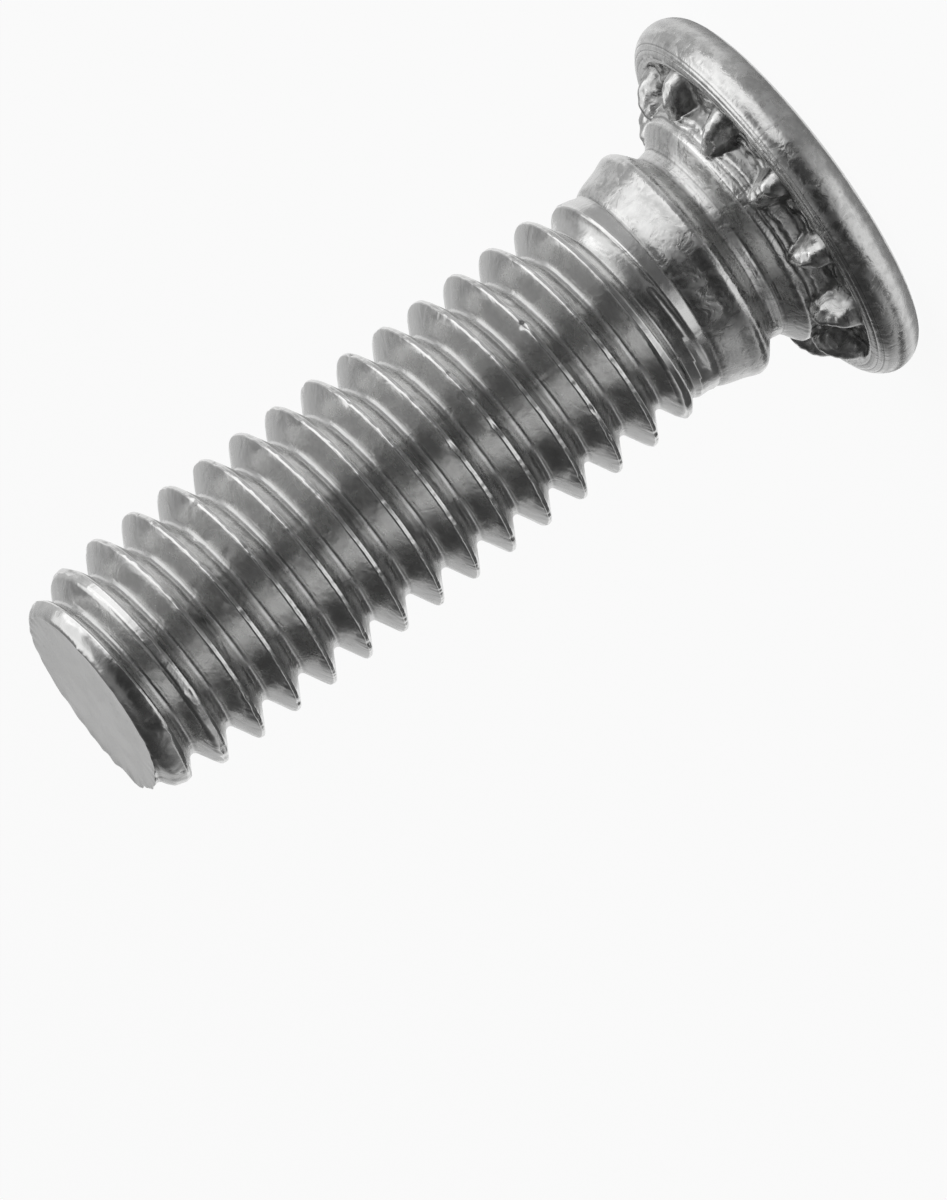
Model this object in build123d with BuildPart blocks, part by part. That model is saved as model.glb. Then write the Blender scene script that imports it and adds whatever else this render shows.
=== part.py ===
"""Self-clinching stud, M3 x 0.5, with a flush head.

The stud is one piece of steel wire. One end is upset into a thin round head, with a
ring of ribs coined under it. A neck groove and a collar follow, and the rest is rolled
thread up to the cropped end. The origin is the middle of the head's flat outer face,
and +Z runs along the shank to the cropped end. Sizes are in millimetres.
"""
import os
from math import ceil, radians, tan

from build123d import *

os.makedirs("parts", exist_ok=True)

overall_length = 9.95

# Head: a thin disc whose rim is a full round
head_dia = 4.74
head_thickness = 0.62

# Shank, and the neck groove that the sheet flows into
shank_dia = 2.98
shank_height = 0.38
flare_height = 0.2
neck_dia = 2.5
neck_width = 0.14

# Collar that closes the groove, with a long taper down to the bare run-out
collar_dia = 2.97
collar_back = 0.26
collar_taper = 0.54
collar_land = 0.08
runout_dia = 2.6

# Ribs under the head, which stop the stud from turning in the sheet
rib_count = 12
rib_first_angle = 3.0
rib_width = 0.44
rib_draft = 12.0
rib_ring_dia = 3.96
rib_back_dia = 2.92
rib_nose_height = 0.21
rib_back_height = 0.46

# Rolled thread, right-handed. Its first full crest lies along +X, at the end of the
# run-out, where the crest has climbed and the root has sunk to full depth.
thread_dia = 2.88
thread_pitch = 0.5
thread_angle = 60.0
thread_depth = 0.64 * thread_pitch
crest_flat = thread_pitch / 8
crest_overlap = 0.06
crest_runout = 0.76
root_delay = 0.24
root_fall = 0.34
end_dia = 2.28

# Lead-in: the crest rounds over in three tapers, each given by its distance from the
# end and the diameter there
lead_in_long = 1.3
lead_in_middle = 0.7
lead_in_short = 0.3
middle_dia = 2.852
short_dia = 2.7

# Levels along the axis, from the outer face of the head
shank_top = head_thickness + shank_height
neck_start = shank_top + flare_height
neck_end = neck_start + neck_width
collar_peak = neck_end + collar_back
collar_end = collar_peak + collar_taper
crest_start = collar_end - crest_overlap
full_thread = crest_start + crest_runout
root_fall_start = collar_end + root_delay
root_start = root_fall_start + root_fall
lead_in_start = overall_length - lead_in_long

# Radii
rim_radius = head_thickness / 2
rim_centre = head_dia / 2 - rim_radius
shank_radius = shank_dia / 2
neck_radius = neck_dia / 2
collar_radius = collar_dia / 2
runout_radius = runout_dia / 2
thread_radius = thread_dia / 2
root_radius = thread_radius - thread_depth
end_radius = end_dia / 2
rib_reach = rib_ring_dia / 2
rib_back = rib_back_dia / 2

# The ridge of the thread reaches this far into the core, and the shape that trims it
# passes this far outside its full crest.
ridge_sink = 0.1 * thread_pitch
crest_clearance = 0.04 * thread_pitch

# One turn of the ridge, with flanks at the thread angle
half_crest = crest_flat / 2
half_base = half_crest + (thread_depth + ridge_sink) * tan(radians(thread_angle / 2))

with BuildPart() as ridge_turn:
    with BuildLine() as ridge_path:
        Helix(thread_pitch, thread_pitch, root_radius)
    with BuildSketch(Plane.XZ):
        Polygon(
            (root_radius - ridge_sink, -half_base),
            (thread_radius, -half_crest),
            (thread_radius, half_crest),
            (root_radius - ridge_sink, half_base),
            align=None,
        )
    sweep(path=ridge_path.wires()[0], is_frenet=True)

# The whole ridge. Each turn begins over +Y, a quarter pitch above its crest over +X.
# The first turn lies below the run-out, and the last one passes the cropped end.
turns_below = ceil(crest_runout / thread_pitch) + 1
turns_above = ceil((overall_length - full_thread) / thread_pitch)
turn_levels = [
    full_thread + (turn + 0.25) * thread_pitch for turn in range(-turns_below, turns_above)
]

with BuildPart() as thread:
    with Locations([Location((0, 0, level), (0, 0, 90)) for level in turn_levels]):
        add(ridge_turn.part)

    # The crest climbs out of the run-out on a cone at one end. At the other end it
    # tapers off to the cropped face.
    envelope_radius = thread_radius + crest_clearance
    crest_slope = (thread_radius - runout_radius) / crest_runout
    climb_end = crest_start + (envelope_radius - runout_radius) / crest_slope
    buried_start = crest_start - collar_taper / 2
    buried_radius = runout_radius - crest_slope * collar_taper / 2
    with BuildSketch(Plane.XZ):
        with BuildLine():
            Polyline(
                (end_radius, overall_length),
                (0, overall_length),
                (0, buried_start),
                (buried_radius, buried_start),
                (envelope_radius, climb_end),
                (envelope_radius, lead_in_start),
                (middle_dia / 2, overall_length - lead_in_middle),
                (short_dia / 2, overall_length - lead_in_short),
                (end_radius, overall_length),
            )
        make_face()
    revolve(axis=Axis.Z, mode=Mode.INTERSECT)

# One rib along +X: a tapered block with a round nose, whose top slopes down to the head.
# Its flat heel lies inside the shank.
rib_heel = rib_back - rib_width / 2
nose_radius = rib_width / 2
nose_centre = rib_reach - nose_radius
with BuildPart() as rib:
    with BuildSketch(Plane.XY.offset(head_thickness)):
        with Locations(((nose_centre + rib_heel) / 2, 0)):
            Rectangle(nose_centre - rib_heel, rib_width)
        with Locations((nose_centre, 0)):
            Circle(nose_radius)
    extrude(amount=rib_back_height, taper=rib_draft)
    with BuildSketch(Plane.XZ):
        Polygon(
            (rib_back, rim_radius),
            (rib_reach + rib_width, rim_radius),
            (rib_reach + rib_width, head_thickness),
            (rib_reach, head_thickness + rib_nose_height),
            (rib_back, head_thickness + rib_back_height),
            align=None,
        )
    extrude(amount=rib_width, both=True, mode=Mode.INTERSECT)

# Stud: the upset blank, round about its axis, with the ribs and the thread grown on it
with BuildPart() as stud:
    with BuildSketch(Plane.XZ):
        with BuildLine():
            Polyline(
                (root_radius, root_start),
                (root_radius, overall_length),
                (0, overall_length),
                (0, 0),
                (rim_centre, 0),
            )
            ThreePointArc(
                (rim_centre, 0),
                (head_dia / 2, rim_radius),
                (rim_centre, head_thickness),
            )
            Polyline(
                (rim_centre, head_thickness),
                (shank_radius, head_thickness),
                (shank_radius, shank_top),
                (neck_radius, neck_start),
                (neck_radius, neck_end),
                (collar_radius, collar_peak - collar_land / 2),
                (collar_radius, collar_peak + collar_land / 2),
                (runout_radius, collar_end),
                (runout_radius, root_fall_start),
                (root_radius, root_start),
            )
        make_face()
    revolve(axis=Axis.Z)
    with PolarLocations(0, rib_count, start_angle=rib_first_angle):
        add(rib.part)
    add(thread.part)

print("solids", len(stud.part.solids()), "volume", stud.part.volume, "mm3")
stud.part.label = "stud"
export_step(stud.part, "parts/stud.step")
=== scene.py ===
# %% [markdown]
# # A self-clinching stud, dressed for its portrait
# The real part is one piece of steel wire, about 10 mm long. A press upsets the head and
# coins a ring of ribs under it, rollers form the thread, and the end is cropped. The
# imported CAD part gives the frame, and this lesson lays a finer skin of steel over it.

# %% Load the frame
import math
import bpy
import numpy as np
from mathutils import Matrix, Vector


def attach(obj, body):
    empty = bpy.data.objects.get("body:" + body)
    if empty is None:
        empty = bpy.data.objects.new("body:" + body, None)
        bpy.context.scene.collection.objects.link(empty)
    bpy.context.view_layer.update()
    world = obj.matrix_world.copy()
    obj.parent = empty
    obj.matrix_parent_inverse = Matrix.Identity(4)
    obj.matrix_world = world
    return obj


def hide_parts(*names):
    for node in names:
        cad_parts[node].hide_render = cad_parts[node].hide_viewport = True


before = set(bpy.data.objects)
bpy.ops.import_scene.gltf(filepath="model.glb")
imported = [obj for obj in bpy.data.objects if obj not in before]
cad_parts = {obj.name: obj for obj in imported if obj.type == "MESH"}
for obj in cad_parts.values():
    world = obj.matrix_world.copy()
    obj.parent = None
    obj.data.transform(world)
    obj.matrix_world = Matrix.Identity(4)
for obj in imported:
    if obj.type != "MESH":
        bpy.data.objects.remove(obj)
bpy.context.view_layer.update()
MM = 0.001

# %% [markdown]
# ## One skin for the whole stud
# A lathe shape could be spun from a curve, and a thread could be a Screw modifier, but
# the parts would meet in cuts. A grid has no cuts: each row is one ring round the axis,
# and the rows follow each other from the middle of the head to the middle of the
# cropped end. Every length below is in millimetres until the mesh is made.

# %% Sizes of the stud
overall_length = 9.95
rim_radius, rim_centre = 0.31, 2.06
collar_end = 2.14
pitch, crest_over_x = 0.5, 2.84
crest_radius, root_depth = 1.44, 0.322
end_radius, lead_in_length = 1.095, 1.3
fine, coarse = 384, 192
print("columns under the head", fine, "and along the shank", coarse)

# %% [markdown]
# ## Nothing on it is perfectly even
# Rolled and pressed steel is a little wavy, and the waves are what breaks up its
# reflections. A noise texture could displace the mesh, but a sum of plane waves with
# random directions is smooth, cheap and the same on every run.


# %% Waves in the surface
def around(angle, radius, level):
    """Point on a ring: radius times cosine and sine of the angle, and the level."""
    angle, radius, level = np.broadcast_arrays(angle, radius, level)
    return np.stack([radius * np.cos(angle), radius * np.sin(angle), level], -1)


def ripple(points, wavelength, seed):
    """Sum of 14 plane waves with random directions and phases, between about -1 and 1."""
    rng = np.random.default_rng(seed)
    ways = rng.normal(size=(14, 3))
    ways *= (2 * np.pi / wavelength) * rng.uniform(0.7, 1.4, (14, 1)) / np.linalg.norm(
        ways, axis=1, keepdims=True)
    phases = rng.uniform(0, 2 * np.pi, 14)
    return np.sin(np.tensordot(points, ways, (-1, 1)) + phases).sum(-1) / 5.3


def uneven(angle, level):
    """Long waves plus short ones, both read on one cylinder so that rows agree."""
    on_cylinder = around(angle, 1.35, level)
    return 0.0044 * ripple(on_cylinder, 0.8, 11) + 0.0011 * ripple(on_cylinder, 0.26, 12)


print("largest wave in mm", np.abs(uneven(np.linspace(0, 6, 500), np.linspace(2, 9, 500))).max())

# %% [markdown]
# ## Columns that follow the ribs
# A rib has parallel sides, so straight spokes would cut its edges into a saw. The
# columns are bent instead: near a rib each one keeps a fixed distance from the rib's
# middle line, and in the pocket between two ribs they spread out evenly.

# %% Places of the ribs
rng = np.random.default_rng(7)
rib_count, rib_first_angle = 12, math.radians(3.0)
rib_turn = np.radians(rng.uniform(-0.8, 0.8, rib_count))
rib_lift = rng.uniform(-0.045, 0.025, rib_count)
rib_shift = rng.uniform(-0.03, 0.03, rib_count)
rib_middle = rib_first_angle + 2 * np.pi * np.arange(rib_count) / rib_count + rib_turn
side_steps = np.array([0.0, 0.035, 0.07, 0.09, 0.105, 0.12, 0.14, 0.165, 0.19, 0.22, 0.25])
offsets = np.concatenate([-side_steps[:0:-1], side_steps])
in_pocket = fine // rib_count - len(offsets)
print("columns on a rib", len(offsets), "and in a pocket", in_pocket)


# %% Bend the columns round the ribs
def bent_angles(radius):
    """Angle of every column at a radius: arcsine of offset over radius on a rib, even between."""
    rib = rib_middle[:, None] + np.arcsin(offsets / radius)[None, :]
    start, stop = rib[:, -1], np.append(rib[1:, 0], rib[0, 0] + 2 * np.pi)
    share = np.arange(1, in_pocket + 1) / (in_pocket + 1)
    pocket = start[:, None] + (stop - start)[:, None] * share
    return np.concatenate([rib, pocket], 1).ravel()


even_angles = rib_first_angle + 2 * np.pi * (np.arange(fine) - len(side_steps) + 1) / fine
print("widest gap between columns in degrees", np.degrees(np.diff(bent_angles(1.7))).max())

# %% [markdown]
# ## The underside as heights
# The ribs were coined into a die, so the steel stands over the underside like hills over
# a plain. That makes them a height: the greater of the plain and the hill, with the
# corner between them eased. The plain has low steps, where the die was turned.


# %% Easing, and the plain
def ease_max(a, b, width):
    """Greater of two values, with the corner rounded over the given width."""
    return 0.5 * (a + b + np.sqrt((a - b) ** 2 + width ** 2))


def ease_min(a, b, width):
    """Lesser of two values, with the corner rounded in the same way."""
    return -ease_max(-a, -b, width)


plain_points = np.array([
    (1.262, 1.195), (1.288, 1.158), (1.332, 1.118), (1.39, 1.075), (1.45, 1.035),
    (1.487, 1.003), (1.494, 0.975), (1.498, 0.925), (1.504, 0.905), (1.522, 0.893),
    (1.527, 0.870), (1.530, 0.835), (1.536, 0.820), (1.552, 0.810), (1.556, 0.785),
    (1.560, 0.720), (1.570, 0.665), (1.592, 0.628), (1.63, 0.610), (1.695, 0.604),
    (1.705, 0.590), (1.715, 0.585), (1.815, 0.583), (1.825, 0.570), (1.835, 0.565),
    (1.94, 0.563), (1.985, 0.572), (2.01, 0.592), (2.03, 0.610), (2.055, 0.6195),
    (2.09, 0.6188)])
print("plain under the head, from", plain_points[0], "out to", plain_points[-1])


# %% Height of a rib
def rib_height(radius, angle):
    """Top line sloping 0.6 down per unit out under a blunt heel, less the draft times the
    distance outside a round-topped slot that runs along the rib."""
    which = np.round((angle - rib_first_angle) / (2 * np.pi / rib_count)).astype(int) % rib_count
    turn = (angle - rib_middle[which] + np.pi) % (2 * np.pi) - np.pi
    along, across = radius * np.cos(turn), radius * np.sin(turn)
    top = ease_min(1.155 - 0.60 * (along - 1.46), 1.02, 0.03) + rib_lift[which]
    nose = np.maximum(along - (1.87 + rib_shift[which]), 0)
    heel = 1.6 * np.maximum(1.54 - along, 0)
    away = np.sqrt(across ** 2 + nose ** 2 + heel ** 2)
    return top - 1.2 * across ** 2 - 3.4 * ease_max(away - 0.125, 0.0, 0.08)


print("height on a rib's middle at radius 1.7:", rib_height(np.array([1.7]), rib_middle[:1]))

# %% [markdown]
# ## Rows that climb the section
# Between the neck and the rim the plain drops almost straight down at the wall and runs
# nearly flat outside it. Rows at even radii would leave the wall bare, so they are
# spaced evenly along the section instead. Soft lumps are added where the die pressed
# hardest, in the ring of ribs.

# %% Rows under the head
walked = np.concatenate([[0], np.cumsum(np.hypot(*np.diff(plain_points, axis=0).T))])
under_radii = np.interp(np.linspace(walked[-1], 0, 60), walked, plain_points[:, 0])
under_rows = []
for radius in under_radii:
    bent = bent_angles(max(radius, 1.42))
    angle = bent + (even_angles - bent) * np.clip((1.42 - radius) / 0.13, 0, 1)
    level = ease_max(np.interp(radius, *plain_points.T), rib_height(radius, angle), 0.03)
    lumps = ripple(around(angle, radius, level), 0.30, 21) + 0.6 * ripple(
        around(angle, radius, level), 0.13, 22)
    in_ring = np.clip((2.03 - radius) / 0.08, 0, 1) * np.clip((radius - 1.48) / 0.06, 0, 1)
    under_rows.append(around(angle, radius, level + (0.001 + 0.016 * in_ring) * lumps))
print("rows under the head", len(under_rows), "highest", max(r[:, 2].max() for r in under_rows))

# %% [markdown]
# ## The head's face and its full-round rim
# The hidden face is a plain flat disc, pressed a little uneven. The rim is half a circle
# in section, so its rows are spaced by angle, with close rows for the two fine lines
# that the press leaves on the bead. It is dented only inwards, so it keeps its size.

# %% Face and rim
rim_angles = np.radians(np.sort(np.concatenate([
    np.linspace(-90, 84, 21), [50, 53, 55, 63, 65, 66.5, 68, 70]])))
rim_degrees = np.degrees(rim_angles)
line_width = 1.8
rim_line = 0.008 * np.exp(-((rim_degrees - 66.5) / line_width) ** 2) + 0.006 * np.exp(
    -((rim_degrees - 53) / line_width) ** 2)
face_angle = bent_angles(2.09)
face_rows = [around(face_angle, radius, 0.0) for radius in (0.5, 1.0, 1.5, 1.9)]
for row in face_rows:
    row[:, 2] = 0.005 * (1 + np.clip(ripple(row, 1.4, 31), -1, 1))
rim_rows = []
for a, line in zip(rim_angles, rim_line):
    out, up = math.cos(a), math.sin(a)
    ring = around(face_angle, rim_centre + rim_radius * out, rim_radius * (1 + up))
    dent = line + (0.0075 + 0.005 * (1 + np.clip(ripple(ring, 0.55, 32), -1, 1))) * out ** 2
    rim_rows.append(around(face_angle, rim_centre + (rim_radius - dent) * out,
                           rim_radius + (rim_radius - dent) * up))
print("rows on the face", len(face_rows), "and on the rim", len(rim_rows))

# %% [markdown]
# ## Neck, collar and run-out
# The neck groove is round-bottomed, and the collar above it rises quickly and then tapers
# off in two slopes. The section is a list of measured points joined by a smooth curve,
# because a fillet and a cone would lose its soft corners.


# %% Smooth curve through points
def smooth_through(points, count):
    """Cubic curve through the points, with slopes taken from each point's neighbours."""
    points = np.asarray(points, float)
    t = np.concatenate([[0], np.cumsum(np.hypot(*np.diff(points, axis=0).T))])
    slope = np.gradient(points, t, axis=0)
    s = np.linspace(0, t[-1], count)
    i = np.clip(np.searchsorted(t, s, side="right") - 1, 0, len(t) - 2)
    h = (t[i + 1] - t[i])[:, None]
    u = ((s - t[i]) / h[:, 0])[:, None]
    return (points[i] * (2 * u ** 3 - 3 * u ** 2 + 1) + slope[i] * h * (u ** 3 - 2 * u ** 2 + u)
            + points[i + 1] * (3 * u ** 2 - 2 * u ** 3) + slope[i + 1] * h * (u ** 3 - u ** 2))


print("middle of a test curve", smooth_through([(0, 0), (1, 1), (2, 0)], 3)[1])

# %% Rows of the collar
collar_section = smooth_through([
    (1.2575, 1.226), (1.2490, 1.270), (1.2410, 1.315), (1.2430, 1.352), (1.276, 1.396),
    (1.340, 1.450), (1.402, 1.500), (1.447, 1.545), (1.475, 1.590), (1.484, 1.632),
    (1.476, 1.675), (1.460, 1.715), (1.440, 1.760), (1.422, 1.806), (1.409, 1.850),
    (1.397, 1.896), (1.384, 1.943), (1.371, 1.988), (1.355, 2.033), (1.335, 2.077),
    (1.309, 2.115), (1.296, 2.14)], 40)[:-1]
coarse_angle = rib_first_angle + 2 * np.pi * (
    np.arange(coarse) - (len(side_steps) - 1) / 2) / coarse
collar_rows = [
    around(coarse_angle, radius + uneven(coarse_angle, level) - 0.001, level)
    for radius, level in collar_section]
print("rows on the collar", len(collar_rows))

# %% [markdown]
# ## Where the end was cropped
# A shear cut the wire, so the end isn't quite square to the axis, its edge is ragged,
# and on the side where the cut broke through it drew out a small torn burr. The end is
# a height that depends on the angle, and the burr is a smooth hump times short waves.

# %% Level of the cropped end
end_middle, end_tilt, end_highest = 9.882, 0.047, 9.948
burr_angle, burr_spread = math.radians(147), math.radians(44)


def burr(angle):
    """One less the square of the angle from its middle over its spread, torn by short waves."""
    away = np.abs((angle - burr_angle + np.pi) % (2 * np.pi) - np.pi)
    hump = np.clip(1 - (away / burr_spread) ** 2, 0, 1)
    return hump * np.clip(0.72 + 0.4 * ripple(around(angle, 1.15, 0), 0.24, 41), 0, 1)


def end_level(angle):
    """Tilted plane, plus a ragged edge, plus the burr, and nowhere above the highest level."""
    ragged = 0.006 * ripple(around(angle, 1.15, 0), 0.20, 42)
    level = end_middle + end_tilt * np.sin(angle) + ragged + 0.02 * burr(angle)
    return np.minimum(level, end_highest)


print("cropped end between", end_level(coarse_angle).min(), "and", end_level(coarse_angle).max())

# %% [markdown]
# ## The rolled thread
# Rolling presses the profile into the blank: crests and roots come out rounded, and the
# flanks between them straight. The profile is a function of the distance from a crest:
# a narrow flat, an arc, a line at 60 degrees to the axis, and a second arc in the root.

# %% Profile of the thread
crest_flat, crest_round, root_round = 0.006, 0.028, 0.072
steep = math.sqrt(3)


def profile_depth(distance):
    """Depth below the crest: narrow flat, arc, line, arc. Each arc ends where its slope
    reaches 60 degrees, which is 0.866 of its radius out from its middle. The line is
    hollowed by half a sine wave."""
    past_flat = np.maximum(distance - crest_flat, 0)
    on_crest = crest_round - np.sqrt(np.maximum(crest_round ** 2 - past_flat ** 2, 0))
    flank = steep * (past_flat - 0.577 * crest_round)
    flank = flank + 0.003 * np.sin(np.pi * np.clip((distance - 0.04) / 0.15, 0, 1))
    inward = pitch / 2 - distance
    in_root = root_depth - root_round + np.sqrt(np.maximum(root_round ** 2 - inward ** 2, 0))
    depth = np.where(past_flat < 0.866 * crest_round, on_crest, flank)
    return np.where(inward < 0.866 * root_round, in_root, depth)


print("depth at the crest, on the flank and in the root",
      profile_depth(np.array([0, 0.125, 0.25])))

# %% [markdown]
# ## Nicks from the bin
# Studs are tumbled in thousands, and each crest carries small nicks and flats. They are
# soft dents: a depth times a bell curve in the two directions of the surface. Most are
# scattered along the crests at random, and a few are listed one by one.

# %% List of nicks: angle in degrees, level, depth, length round the shank, width
placed_nicks = np.array([
    (-96, 5.206, 0.035, 0.10, 0.05), (-90, 8.56, -0.03, 0.10, 0.03),
    (-48, 8.08, 0.02, 0.10, 0.03), (-160, 5.54, 0.03, 0.06, 0.05),
    (-117, 9.70, 0.02, 0.07, 0.06), (-40, 7.83, 0.02, 0.05, 0.05),
    (-70, 7.88, 0.02, 0.06, 0.04), (-99, 4.71, 0.025, 0.07, 0.05),
    (-52, 3.70, 0.02, 0.08, 0.05)])
rng = np.random.default_rng(19)
nick_count, crest_turns = 110, 15
nick_angle = rng.uniform(-np.pi, np.pi, nick_count)
nick_turn = rng.integers(0, crest_turns, nick_count)
scattered_nicks = np.stack([
    np.degrees(nick_angle), crest_over_x + pitch * (nick_turn + nick_angle / (2 * np.pi)),
    rng.uniform(0.006, 0.018, nick_count), rng.uniform(0.03, 0.10, nick_count),
    rng.uniform(0.02, 0.05, nick_count)], 1)
nicks = np.concatenate([placed_nicks, scattered_nicks])


def nick_depth(angle, level):
    """Sum over the nicks of depth times a bell curve of arc length and level. A negative
    depth is a speck of steel that stands proud."""
    total = np.zeros(np.broadcast(angle, level).shape)
    for degrees, middle, depth, length, width in nicks:
        arc = 1.4 * ((angle - math.radians(degrees) + np.pi) % (2 * np.pi) - np.pi)
        total = total + depth * np.exp(-(arc / length) ** 2 - ((level - middle) / width) ** 2)
    return total


print("nicks", len(nicks))

# %% [markdown]
# ## From the profile to a radius
# The crest climbs out of the collar's run-out on a cone. At the cropped end the blank was
# pointed before rolling, so that a nut finds its way on, and the last crests never
# filled: they stay flat and rough on an ellipse. So the least of the profile, the cone
# and the ellipse is kept.


# %% Radius of the thread
core_levels, core_radii = [collar_end, 2.36, 2.74, 9.9], [1.296, 1.290, 1.05, 1.05]
cone_levels, cone_radii = [2.10, 2.86], [1.285, crest_radius + 0.008]


def thread_radius(angle, level):
    """Crest radius less the profile's depth, kept above the core and under the cone and
    the rough ellipse, less nicks and plus waves."""
    offset = level - crest_over_x - pitch * angle / (2 * np.pi)
    distance = np.abs((offset + pitch / 2) % pitch - pitch / 2)
    ragged = 0.0045 * np.exp(-(distance / 0.04) ** 2) * (
        1 + ripple(around(angle, 1.44, level), 0.12, 13))
    raw = crest_radius - profile_depth(distance) - ragged
    to_end = end_level(angle) - level
    along = np.clip(1 - to_end / lead_in_length, 0, 1)
    ellipse = end_radius + (crest_radius - end_radius) * np.sqrt(1 - 0.99 * along ** 2)
    rough = 0.002 * along * ripple(around(angle, 1.3, level), 0.20, 14)
    core = np.interp(level, core_levels, core_radii)
    cone = np.interp(level, cone_levels, cone_radii)
    tear = 0.11 * burr(angle) * np.exp(-(to_end / 0.22) ** 2)
    worn = nick_depth(angle, level) - uneven(angle, level)
    under = np.minimum(cone, ellipse + rough)
    return ease_max(ease_min(raw, under, 0.014), core, 0.03) - worn + tear


print("crest and root radius over +X", thread_radius(0.0, 4.84), thread_radius(0.0, 5.09))

# %% [markdown]
# ## Rows that run as helices
# A thread cut into a regular net of rings shows a staircase along its crests. So the
# rows of this part are helices: a row stays on its own place of the profile all the way
# round and joins the row one pitch further on. At the run-out and at the cropped end the
# rows are held back at the last ring, and the points that then coincide are merged.

# %% Helical rows
flat_steps = np.array([0.0, 0.009, 0.021, 0.033, 0.090, 0.145, 0.187, 0.210, 0.231])
phases = np.concatenate([flat_steps, [pitch / 2], pitch - flat_steps[:0:-1]])
per_pitch = len(phases)
turns = math.ceil((overall_length - collar_end) / pitch) + 2
first_crest = crest_over_x - pitch * math.ceil((crest_over_x - collar_end + pitch) / pitch)
row_levels = (first_crest + pitch * np.arange(turns + 1)[:, None] + phases[None, :]).ravel()
thread_angle = np.broadcast_to(coarse_angle, (len(row_levels), coarse))
thread_levels = row_levels[:, None] + pitch * thread_angle / (2 * np.pi)
thread_levels = np.minimum(np.maximum(thread_levels, collar_end), end_level(thread_angle))
thread_grid = around(thread_angle, thread_radius(thread_angle, thread_levels), thread_levels)
print("rows of the thread", len(row_levels), "with", per_pitch, "in a pitch")

# %% [markdown]
# ## The cropped face
# The face closes the skin. It is flat where the shear slid and rises to the burr only
# close to its edge, so the rows are the end ring shrunk towards the middle, and the
# ring's raggedness fades with a high power of the share.

# %% Rows of the cropped face
last_level = end_level(coarse_angle)
end_ring = around(coarse_angle, thread_radius(coarse_angle, last_level), last_level)
end_rows = []
for share in (0.985, 0.96, 0.92, 0.86, 0.76, 0.6, 0.42, 0.24, 0.1):
    row = end_ring * [share, share, 1]
    plane = end_middle + end_tilt * share * np.sin(coarse_angle)
    dish = 0.0018 * ripple(row, 0.7, 43) - 0.006 * min(1, 8 * (1 - share))
    proud = last_level - end_middle - end_tilt * np.sin(coarse_angle)
    row[:, 2] = plane + proud * share ** 14 + dish
    end_rows.append(row)
print("radius of the cropped end", np.hypot(end_ring[:, 0], end_ring[:, 1]).mean())

# %% [markdown]
# ## Join the rows into one closed mesh
# Neighbouring rows with the same number of points are joined by four-sided faces. Where
# the columns halve, each coarse column takes two fine ones. The two ends close in a fan
# round one point. Each face also remembers its finish: rolled, pressed or cropped.


# %% Faces between rows
def strip(lower, upper):
    """Faces between two closed rows of point numbers, in columns or two columns to one."""
    if len(lower) == len(upper):
        return np.stack([lower, np.roll(lower, -1), np.roll(upper, -1), upper], 1)
    a, b, c = lower[0::2], lower[1::2], np.roll(lower, -1)[1::2]
    near, far = upper, np.roll(upper, -1)
    return np.concatenate([np.stack([a, b, near, near], 1), np.stack([b, far, near, near], 1),
                           np.stack([b, c, far, far], 1)])


def fan(row, tip):
    """Faces from a closed row of point numbers to one point."""
    return np.stack([row, np.roll(row, -1), np.full(len(row), tip), np.full(len(row), tip)], 1)


def numbered(rows, start):
    """Point numbers of each row, counted on from start."""
    ends = start + np.cumsum([len(r) for r in rows])
    return [np.arange(e - len(r), e) for r, e in zip(rows, ends)]


print("faces between two fine rows", len(strip(np.arange(fine), np.arange(fine) + fine)))

# %% Number the points and collect the faces
first_ring = around(coarse_angle, thread_radius(coarse_angle, collar_end), collar_end)
pressed_rows = face_rows + rim_rows + under_rows + collar_rows + [first_ring]
pressed_numbers = numbered(pressed_rows, 1)
grid = pressed_numbers[-1][-1] + 1 + np.arange(thread_grid.shape[0] * coarse).reshape(-1, coarse)
end_numbers = numbered([end_ring] + end_rows, grid[-1, -1] + 1)
tip = end_numbers[-1][-1] + 1
face_middle, end_tip = [[0.0, 0.0, 0.004]], [[0.0, 0.0, end_middle - 0.01]]
points = np.concatenate([face_middle] + pressed_rows + [thread_grid.reshape(-1, 3), end_ring]
                        + end_rows + [end_tip])
pressed = [fan(pressed_numbers[0], 0)[:, ::-1]] + [
    strip(a, b) for a, b in zip(pressed_numbers[:-1], pressed_numbers[1:])]
rolled = [
    np.stack([grid[:-1, :-1], grid[:-1, 1:], grid[1:, 1:], grid[1:, :-1]], -1).reshape(-1, 4),
    np.stack([grid[:-1 - per_pitch, -1], grid[per_pitch:-1, 0], grid[per_pitch + 1:, 0],
              grid[1:-per_pitch, -1]], -1)]
cropped = [strip(a, b) for a, b in zip(end_numbers[:-1], end_numbers[1:])]
cropped.append(fan(end_numbers[-1], tip))
parts = [np.concatenate(p) for p in (rolled, pressed, cropped)]
faces, finish = np.concatenate(parts), np.repeat([0, 1, 2], [len(p) for p in parts])
print("points", len(points), "faces", len(faces))


# %% [markdown]
# ## Points that coincide
# Where helical rows are held back at a ring, many points fall on the same spot. Left
# alone they would make faces without area and edges that only look closed. Rounding
# every place and keeping each one once joins the skin there.


# %% Merge what coincides
def merged(points, faces, finish):
    """Points rounded to a hundred-thousandth of a millimetre and made unique, and faces
    with at least three different corners."""
    _, first, back = np.unique(np.round(points * 1e5).astype(np.int64), axis=0,
                               return_index=True, return_inverse=True)
    faces = back.ravel()[faces]
    distinct = faces != np.roll(faces, -1, 1)
    keep = distinct.sum(1) >= 3
    return points[first], faces[keep], distinct[keep], finish[keep]


points, faces, distinct, finish = merged(points, faces, finish)
print("after merging: points", len(points), "faces", len(faces))
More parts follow.
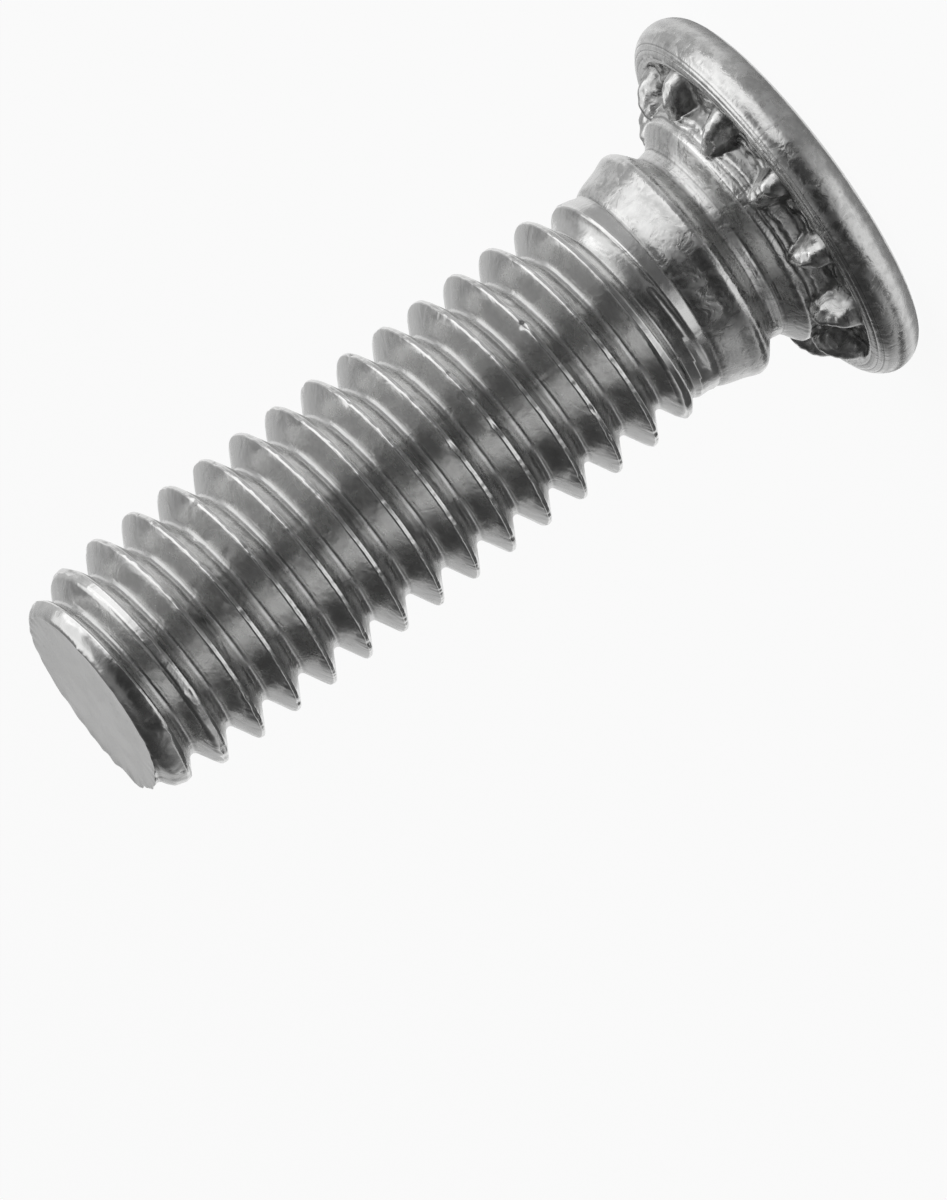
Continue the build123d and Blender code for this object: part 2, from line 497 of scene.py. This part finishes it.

# %% [markdown]
# ## From arrays to a mesh
# A mesh can be filled point by point, which is slow in Python, or from whole arrays with
# foreach_set, which is quick. The skin rides on the part's only body and replaces the
# plain solid there.

# %% Make the mesh
sizes, loops = distinct.sum(1), faces[distinct]
skin = bpy.data.meshes.new("stud_skin")
skin.vertices.add(len(points))
skin.vertices.foreach_set("co", (points * MM).ravel())
skin.loops.add(len(loops))
skin.loops.foreach_set("vertex_index", loops)
skin.polygons.add(len(sizes))
skin.polygons.foreach_set("loop_start", np.concatenate([[0], np.cumsum(sizes)[:-1]]))
skin.polygons.foreach_set("use_smooth", np.ones(len(sizes), bool))
skin.polygons.foreach_set("material_index", finish.astype(np.int32))
skin.update(calc_edges=True)
changed = skin.validate()
stud = bpy.data.objects.new("stud_skin", skin)
bpy.context.scene.collection.objects.link(stud)
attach(stud, "root")
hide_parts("stud")
print("mesh made, and changed by its own check:", changed)

# %% [markdown]
# ## Is the skin closed, and which way does it face?
# The volume inside a closed mesh is a sum over its triangles, and it is positive only
# when they face outwards. An edge that two faces share is closed, so counting the faces
# on every edge finds any gap.

# %% Volume and open edges
skin.calc_loop_triangles()
triangles = np.empty(len(skin.loop_triangles) * 3, np.int32)
skin.loop_triangles.foreach_get("vertices", triangles)
corner = points[triangles.reshape(-1, 3)]
volume = np.einsum("ij,ij->i", corner[:, 0], np.cross(corner[:, 1], corner[:, 2])).sum() / 6
edge_of_loop = np.empty(len(skin.loops), np.int32)
skin.loops.foreach_get("edge_index", edge_of_loop)
open_edges = int((np.bincount(edge_of_loop, minlength=len(skin.edges)) != 2).sum())
print("triangles", len(corner), "volume in cubic mm", round(float(volume), 3))
print("open edges", open_edges)

# %% [markdown]
# ## Proud edges, and painted shade in the hollows
# Handling burnishes what stands proud. The hollows are darkened as painted shade, where
# less light would reach. The mesh knows both: a point stands proud when its neighbours
# lie below it along its normal. The pockets between the ribs get painted shade all over.
# The number goes into an attribute, which the finishes read below.

# %% Relief, and painted shade, of every point
edges = np.empty(len(skin.edges) * 2, np.int32)
skin.edges.foreach_get("vertices", edges)
edges = edges.reshape(-1, 2)
normals = np.empty(len(points) * 3, np.float32)
skin.vertex_normals.foreach_get("vector", normals)
normals = normals.reshape(-1, 3)
step = points[edges[:, 1]] - points[edges[:, 0]]
reach = np.maximum((step ** 2).sum(1), 1e-6)
bend = np.zeros(len(points))
np.add.at(bend, edges[:, 0], -(step * normals[edges[:, 0]]).sum(1) / reach)
np.add.at(bend, edges[:, 1], (step * normals[edges[:, 1]]).sum(1) / reach)
strongest = 5
bend = bend / np.bincount(edges.ravel(), minlength=len(points)) / strongest
from_axis = np.hypot(points[:, 0], points[:, 1])
in_ring = np.clip((from_axis - 1.49) / 0.03, 0, 1) * np.clip((2.04 - from_axis) / 0.05, 0, 1)
rib_line = 1.05 - 0.6 * (from_axis - 1.46)
# Painted shade: points in the pockets between the ribs, below the ribs' top line, are marked darker
# all over.
pocket_shade = in_ring * np.clip((rib_line - points[:, 2]) / 0.22, 0, 1) * (points[:, 2] > 0.5)
relief_and_shade = np.clip(bend - 0.7 * pocket_shade, -1, 1)
skin.attributes.new("relief_and_shade", "FLOAT", "POINT").data.foreach_set("value", relief_and_shade.astype(np.float32))
print("proud points", int((relief_and_shade > 0.3).sum()), "hollow points", int((relief_and_shade < -0.3).sum()))

# %% [markdown]
# ## True normals for the thread
# A mirror shows every kink between two faces. The thread's shape is known as a formula,
# so its normals needn't be averaged from the faces: small steps in angle and in level
# tell how the radius slopes, and the normal leans back from both slopes.

# %% Normals from the formula
angle, level = np.arctan2(points[:, 1], points[:, 0]), points[:, 2]
margin, small = 0.004, 0.0015
on_thread = (level > collar_end + margin) & (level < end_level(angle) - margin)
inner = np.flatnonzero(on_thread & (from_axis > 1.0))
angle, level = angle[inner], level[inner]
radius = thread_radius(angle, level)
above, below = thread_radius(angle, level + small), thread_radius(angle, level - small)
ahead, behind = thread_radius(angle + small, level), thread_radius(angle - small, level)
up_slope = (above - below) / (2 * small)
round_slope = (ahead - behind) / (2 * small) / radius
outward = around(angle, 1.0, -up_slope) - round_slope[:, None] * around(angle + np.pi / 2, 1.0, 0.0)
outward /= np.linalg.norm(outward, axis=1, keepdims=True)
on_it = np.abs(from_axis[inner] - radius) < 1e-3
normals[inner[on_it]] = outward[on_it]
skin.normals_split_custom_set_from_vertices(normals)
print("normals set on the thread", int(on_it.sum()))

# %% [markdown]
# ## A helper for nodes
# Materials are built from nodes. Placing each by hand in code takes five lines, so one
# helper places a node, sets its values, and links any socket that is given as a value.


# %% Place a node
def put(tree, kind, inputs=None, **settings):
    """New node of a kind, with its settings, and its inputs set or linked."""
    node = tree.nodes.new("ShaderNode" + kind)
    for key, value in settings.items():
        setattr(node, key, value)
    for key, value in (inputs or {}).items():
        if isinstance(value, bpy.types.NodeSocket):
            tree.links.new(value, node.inputs[key])
        else:
            node.inputs[key].default_value = value
    return node


def mapped(tree, value, low, high, at_low, at_high):
    """Value carried smoothly from one range to another."""
    return put(tree, "MapRange", {"Value": value, "From Min": low, "From Max": high,
                                  "To Min": at_low, "To Max": at_high},
               interpolation_type="SMOOTHSTEP").outputs["Result"]


def maths(tree, operation, a, b):
    """One sum of two values."""
    return put(tree, "Math", {0: a, 1: b}, operation=operation).outputs["Value"]


def effect(name, takes, gives):
    """New node group with named inputs and outputs."""
    tree = bpy.data.node_groups.new(name, "ShaderNodeTree")
    for label, kind in takes:
        tree.interface.new_socket(label, in_out="INPUT", socket_type="NodeSocket" + kind)
    for label, kind in gives:
        tree.interface.new_socket(label, in_out="OUTPUT", socket_type="NodeSocket" + kind)
    return tree, tree.nodes.new("NodeGroupInput"), tree.nodes.new("NodeGroupOutput")


print("node helpers ready")

# %% [markdown]
# ## Effect: patches, grain and pits
# Under a lens bare steel is a patchwork: soft patches from rolling or pressing, a fine
# grain, and scattered pits. An image could hold them, but noise has no seams and works
# at any size. The three masks share one group, and each finish gives it its own sizes.

# %% Patches, grain and pits
patchwork, given, result = effect(
    "steel_patchwork", [("Vector", "Vector"), ("Patch Scale", "Float"), ("Grain Scale", "Float")],
    [("Patches", "Float"), ("Grain", "Float"), ("Pits", "Float")])
place, grain_scale = given.outputs["Vector"], given.outputs["Grain Scale"]
broad = put(patchwork, "TexNoise", {
    "Vector": place, "Scale": given.outputs["Patch Scale"],
    "Detail": 3.0, "Roughness": 0.55, "Distortion": 0.6}).outputs["Fac"]
fine_grain = put(patchwork, "TexNoise", {
    "Vector": place, "Scale": grain_scale, "Detail": 2.0, "Roughness": 0.5}).outputs["Fac"]
cells = put(patchwork, "TexVoronoi", {
    "Vector": place, "Scale": maths(patchwork, "MULTIPLY", grain_scale, 0.5)}).outputs["Distance"]
pit = mapped(patchwork, cells, 0.10, 0.26, 1.0, 0.0)
pitted = mapped(patchwork, broad, 0.52, 0.60, 0.0, 1.0)
for label, mask in (("Patches", mapped(patchwork, broad, 0.34, 0.66, 0.0, 1.0)),
                    ("Grain", mapped(patchwork, fine_grain, 0.25, 0.75, 0.0, 1.0)),
                    ("Pits", maths(patchwork, "MULTIPLY", pit, pitted))):
    patchwork.links.new(mask, result.inputs[label])
print("group", patchwork.name, "with", len(patchwork.nodes), "nodes")

# %% [markdown]
# ## Effect: lines from the tools
# Rollers and dies were turned on a lathe, and their fine lines print through, all
# running round the axis. The noise is read from the radius and the level, which change
# across the lines, and hardly from the direction, which changes along them.

# %% Lines round the axis
turning, given, result = effect("turning_lines", [("Vector", "Vector"), ("Line Scale", "Float")],
                                [("Lines", "Float")])
axis = put(turning, "SeparateXYZ", {0: given.outputs["Vector"]})
flat = put(turning, "CombineXYZ", {"X": axis.outputs["X"], "Y": axis.outputs["Y"]})
radius = put(turning, "VectorMath", {0: flat.outputs[0]}, operation="LENGTH").outputs["Value"]
across = put(turning, "CombineXYZ", {"X": maths(turning, "MULTIPLY", axis.outputs["X"], 0.02),
                                     "Y": maths(turning, "MULTIPLY", axis.outputs["Y"], 0.02),
                                     "Z": radius})
lines = put(turning, "TexNoise", {"Vector": across.outputs[0], "W": axis.outputs["Z"],
                                  "Scale": given.outputs["Line Scale"], "Detail": 2.0},
            noise_dimensions="4D")
turning.links.new(mapped(turning, lines.outputs["Fac"], 0.3, 0.7, 0.0, 1.0), result.inputs["Lines"])
print("group", turning.name, "with", len(turning.nodes), "nodes")

# %% [markdown]
# ## One recipe, three finishes
# The stud is bare bright steel all over, but each tool left it different. So one recipe
# takes the sizes of the patchwork, two greys and two roughnesses, and how deep the
# patches, the grain and the lines go. Proud edges are smoother and paler, and hollows
# duller and darker with painted shade, by the attribute of relief and painted shade.
# The turned lines are deepest in the neck. Metallic stays a plain 1 on the shader.


# %% The recipe
def bare_steel(name, patch, grain, line, greys, roughness, depths):
    """Material from sizes in mm, two greys, two roughnesses and three depths in microns,
    placed in the skin's next slot."""
    material = bpy.data.materials.new(name)
    material.use_nodes = True
    tree = material.node_tree
    shader = tree.nodes["Principled BSDF"]
    place = put(tree, "TexCoord").outputs["Object"]
    marks = put(tree, "Group", node_tree=patchwork)
    turned = put(tree, "Group", node_tree=turning)
    tree.links.new(place, marks.inputs["Vector"])
    tree.links.new(place, turned.inputs["Vector"])
    marks.inputs["Patch Scale"].default_value = 1 / (patch * MM)
    marks.inputs["Grain Scale"].default_value = 1 / (grain * MM)
    turned.inputs["Line Scale"].default_value = 1 / (line * MM)
    attribute = put(tree, "Attribute", attribute_name="relief_and_shade").outputs["Fac"]
    proud = mapped(tree, attribute, 0.15, 0.8, 0.0, 1.0)
    # Hollows, and the rib pockets marked in the attribute, darken the colour below as painted
    # shade.
    hollow = mapped(tree, attribute, -0.8, -0.15, 1.0, 0.0)

    def times(value, factor):
        """One product, by a value or by another socket."""
        return maths(tree, "MULTIPLY", value, factor)

    def plus(a, b):
        """One sum."""
        return maths(tree, "ADD", a, b)

    patches, grains, pits = (marks.outputs[label] for label in ("Patches", "Grain", "Pits"))
    mix = plus(times(patches, 0.6), times(grains, 0.4))
    spots = times(pits, 0.5)
    # Painted shade: the hollow mask darkens the colour, and the pits add real dark spots.
    dark, dull = plus(times(hollow, 0.9), spots), plus(times(hollow, 0.15), spots)
    shade = maths(tree, "SUBTRACT", plus(mix, times(proud, 0.5)), dark)
    tint = put(tree, "MapRange", {"Value": shade, "From Min": -0.4, "From Max": 1.2,
                                  "To Min": greys[0], "To Max": greys[1]}).outputs["Result"]
    colour = put(tree, "CombineColor", {"Red": tint, "Green": tint, "Blue": times(tint, 0.992)})
    tree.links.new(colour.outputs[0], shader.inputs["Base Color"])

    matt = plus(maths(tree, "SUBTRACT", mix, times(proud, 0.4)), dull)
    tree.links.new(mapped(tree, matt, -0.2, 1.1, *roughness), shader.inputs["Roughness"])

    level = put(tree, "SeparateXYZ", {0: place}).outputs["Z"]
    below_collar = mapped(tree, level, 1.33 * MM, 1.43 * MM, 1.0, 0.04)
    line_depth = mapped(tree, level, 1.06 * MM, 1.16 * MM, 0.04 * depths[2], depths[2])
    printed = times(turned.outputs["Lines"], times(below_collar, line_depth))
    height = plus(plus(times(patches, depths[0]), times(grains, depths[1])), printed)
    height = maths(tree, "SUBTRACT", height, times(pits, 1.5 * depths[1]))
    bump = put(tree, "Bump", {"Height": height, "Distance": 1e-6})
    tree.links.new(bump.outputs["Normal"], shader.inputs["Normal"])
    shader.inputs["Metallic"].default_value = 1.0
    skin.materials.append(material)
    print("finish", name, "with", len(tree.nodes), "nodes")


# %% [markdown]
# ## Rolled thread
# The rollers burnished the flanks, so the thread is the glossiest part. Its patches are
# broad and shallow, and the lines of the rollers are only just there.

# %% Finish of the thread
bare_steel("rolled_steel", patch=0.40, grain=0.09, line=0.03, greys=(0.54, 0.74),
           roughness=(0.16, 0.30), depths=(4.0, 0.7, 0.6))

# %% [markdown]
# ## Pressed head, ribs and collar
# The press flowed the wire's skin without polishing it. The head, its ribs and the
# collar are satin and mottled, with pits, and the die's turned lines show on the neck.

# %% Finish of the head
bare_steel("pressed_steel", patch=0.18, grain=0.06, line=0.03, greys=(0.36, 0.80),
           roughness=(0.16, 0.36), depths=(3.0, 0.7, 1.8))

# %% [markdown]
# ## Cropped end
# Half of the cut was sheared and half was torn, which leaves an even, fine, matt grain.

# %% Finish of the cropped end
bare_steel("cropped_steel", patch=0.4, grain=0.05, line=0.2, greys=(0.78, 0.94),
           roughness=(0.28, 0.40), depths=(1.5, 0.8, 0.0))

# %% [markdown]
# ## Camera
# The portrait looks nearly 11 degrees down on the standing stud through a long lens, and
# the camera is rolled so that the stud leans across the picture with its head at the
# upper right. The stud could be laid down instead, but rolling the camera keeps it
# upright in the frame that the CAD gave.

# %% Place the camera
elevation = math.radians(10.7)
back = Vector((0, -math.cos(elevation), math.sin(elevation)))
right, up = Vector((1, 0, 0)), Vector((0, math.sin(elevation), math.cos(elevation)))
axis_on_photo = Vector((-689.0, -511.0)).normalized()
across_photo = Vector((axis_on_photo.y, -axis_on_photo.x))
turn = Matrix((right * across_photo.x + up * axis_on_photo.x,
               right * across_photo.y + up * axis_on_photo.y, back)).transposed()
lens = bpy.data.cameras.new("camera")
lens.lens, lens.sensor_width, lens.clip_start, lens.clip_end = 543, 36, 0.005, 2.0
camera = bpy.data.objects.new("camera", lens)
bpy.context.scene.collection.objects.link(camera)
aim, distance = Vector((-1.605, 0.0, 5.78)), 200
stand = aim + back * distance
camera.matrix_world = Matrix.Translation(stand * MM) @ turn.to_4x4()
bpy.context.scene.camera = camera
print("camera in mm", [round(v, 1) for v in stand])

# %% [markdown]
# ## Floor
# The stud stands on a plain pale floor. Only a small part of what the camera sees of it
# is lit by the lamps, which is the part that holds the stud's shadow. The rest glows at
# a strength of 1, which is white, for rays from the camera and from shiny surfaces, so
# that the steel shows the same white floor.


# %% Make the floor
def stage_piece(name, corners, faces, material):
    """Flat piece of the set, given in millimetres."""
    mesh = bpy.data.meshes.new(name)
    mesh.from_pydata((np.asarray(corners, float) * MM).tolist(), [], faces)
    mesh.materials.append(material)
    piece = bpy.data.objects.new(name, mesh)
    bpy.context.scene.collection.objects.link(piece)
    return piece


floor_paint = bpy.data.materials.new("floor_paint")
floor_paint.use_nodes = True
tree = floor_paint.node_tree
paint = tree.nodes["Principled BSDF"]
paint.inputs["Base Color"].default_value = (0.92, 0.92, 0.92, 1)
paint.inputs["Specular IOR Level"].default_value = 0
ray = put(tree, "LightPath").outputs
shown = maths(tree, "MAXIMUM", ray["Is Camera Ray"], maths(
    tree, "MAXIMUM", ray["Is Glossy Ray"], ray["Is Transmission Ray"]))
glow = put(tree, "Emission", {"Color": (1, 1, 1, 1), "Strength": 1.0})
blend = put(tree, "MixShader", {
    0: maths(tree, "MULTIPLY", shown, 0.93), 1: paint.outputs[0], 2: glow.outputs[0]})
tree.links.new(blend.outputs[0], tree.nodes["Material Output"].inputs["Surface"])
far = 1000
floor = stage_piece("floor", [(-far, -far, 0), (far, -far, 0), (far, far, 0), (-far, far, 0)],
                    [(0, 1, 2, 3)], floor_paint)
print("floor size in mm", [v / MM for v in floor.dimensions])

# %% [markdown]
# ## Dark cards
# Bright metal is drawn by the dark things that it reflects. A photographer lays dark
# cards beside it, just out of the picture. Two cards could be laid here too, but one
# flat sector on the floor does their work, grey in two places and clear between and
# beyond them. How much it covers is an attribute that rises and falls softly with the
# angle, so the reflections have soft edges too. A narrow dark ring close to the head
# stands for the shadow at its foot. Close to the head on the lamp's side it is darker as
# well, a painted shade of the floor there. Neither the camera nor the shadows see it.
# Without it the thread would be white on white.


# %% Lay the cards
def soft_step(value, start, stop):
    """Smooth step: 0 before start, 1 after stop, three squares less two cubes between."""
    share = np.clip((value - start) / (stop - start), 0, 1)
    return share ** 2 * (3 - 2 * share)


card_columns = 140
card_turn = np.linspace(-40, 238, card_columns)
card_radii = np.array([2.2, 2.35, 2.5, 2.9, 3.4, 4.2, 200])
first_grey = (0.55 * soft_step(card_turn, -36, -10) + 0.40 * soft_step(card_turn, 36, 68)) * (
    1 - soft_step(card_turn, 96, 124))
second_grey = soft_step(card_turn, 132, 166) * (1 - soft_step(card_turn, 218, 236))
# Painted shade: close to the head, from about 0 to 100 degrees, the card darkens the floor that the
# rim mirrors.
near_head_shade = np.interp(card_turn, [-40, 0, 36, 56, 84, 100], [0, 0.15, 0.15, 0.7, 0.7, 0])
farness = np.interp(card_radii, [2.5, 4.2], [0, 1])[:, None]
foot_ring = np.interp(card_radii, [2.3, 2.5], [0.75, 0])[:, None]
cover = near_head_shade * (1 - farness) + (first_grey + second_grey) * farness
cover = np.maximum(cover, foot_ring).ravel()
card_corners = np.concatenate([around(-np.radians(card_turn), r, 0.02) for r in card_radii])
low = np.arange(card_columns - 1)[None, :] + card_columns * np.arange(len(card_radii) - 1)[:, None]
low = low.ravel()
card_faces = np.stack([low, low + 1, low + card_columns + 1, low + card_columns], 1)
card_paint = bpy.data.materials.new("card_paint")
card_paint.use_nodes = True
tree = card_paint.node_tree
tree.nodes["Principled BSDF"].inputs["Base Color"].default_value = (0.22, 0.22, 0.22, 1)
covered = put(tree, "Attribute", attribute_name="cover").outputs["Fac"]
blend = put(tree, "MixShader", {
    0: covered, 1: put(tree, "BsdfTransparent").outputs[0],
    2: tree.nodes["Principled BSDF"].outputs[0]})
tree.links.new(blend.outputs[0], tree.nodes["Material Output"].inputs["Surface"])
card = stage_piece("grey_card", card_corners, card_faces.tolist(), card_paint)
shares = card.data.attributes.new("cover", "FLOAT", "POINT")
shares.data.foreach_set("value", cover.astype(np.float32))
card.visible_camera = card.visible_diffuse = card.visible_shadow = False
print("corners of the card", len(card_corners))

# %% [markdown]
# ## Key lamp
# One large soft lamp stands on the right, turned a little towards the front. A small
# lamp would give the metal a hard white spot. A wide one gives a band, and its width
# decides how far round the shank the band reaches.

# %% Place the lamp
turned, raised, distance = math.radians(30), math.radians(18), 80
way = Vector((math.cos(turned), -math.sin(turned), math.tan(raised))).normalized()
width, height, brightness = 122, 60, 0.8
key_lamp = bpy.data.lights.new("key_lamp", "AREA")
key_lamp.shape, key_lamp.size, key_lamp.size_y = "RECTANGLE", width * MM, height * MM
key_lamp.energy = brightness * math.pi * width * height * MM ** 2
key = bpy.data.objects.new("key_lamp", key_lamp)
bpy.context.scene.collection.objects.link(key)
key.location = (Vector((0, 0, 5)) + way * distance) * MM
key.rotation_euler = way.to_track_quat("Z", "Y").to_euler()
print("lamp in watts", key_lamp.energy)

# %% [markdown]
# ## The room
# The world stands for a pale room: bright at the horizon, darker overhead, with a soft
# window above on the right. Two wide soft shadows, in front and on the left, give the
# steel something dark to mirror, and low in front a pale gap is left between them. A
# picture of a real room would do this too, but a few smooth steps in the direction of
# a ray are enough, and nothing has to be read from a file.

# %% Light of the room
world = bpy.data.worlds.new("room")
bpy.context.scene.world = world
world.use_nodes = True
room = world.node_tree
direction = put(room, "TexCoord").outputs["Generated"]


def toward(way):
    """Cosine of the angle between a ray and a direction."""
    return put(room, "VectorMath", {0: direction, 1: Vector(way).normalized()},
               operation="DOT_PRODUCT").outputs["Value"]


height_of_ray = put(room, "SeparateXYZ", {0: direction}).outputs["Z"]
walls = mapped(room, height_of_ray, 0.2, 0.72, 0.60, 0.22)
window = mapped(room, toward((0.60, 0.12, 0.79)), 0.86, 0.955, 0.0, 0.95)
front = mapped(room, toward((-0.42, -0.91, 0.05)), 0.35, 0.72, 1.0, 0.15)
side = mapped(room, toward((-0.62, 0.35, 0.70)), 0.70, 0.92, 1.0, 0.22)
shadows = maths(room, "MULTIPLY", front, side)
dimmed = maths(room, "MULTIPLY", maths(room, "ADD", walls, window), shadows)
slit = mapped(room, toward((-0.59, -0.81, 0.05)), 0.86, 0.94, 0.0, 0.55)
gap = maths(room, "MULTIPLY", slit, mapped(room, height_of_ray, 0.12, 0.26, 1.0, 0.0))
light = maths(room, "MAXIMUM", dimmed, gap)
room.links.new(light, room.nodes["Background"].inputs["Color"])
bpy.context.scene.view_settings.view_transform = "Standard"
print("room nodes", len(room.nodes))
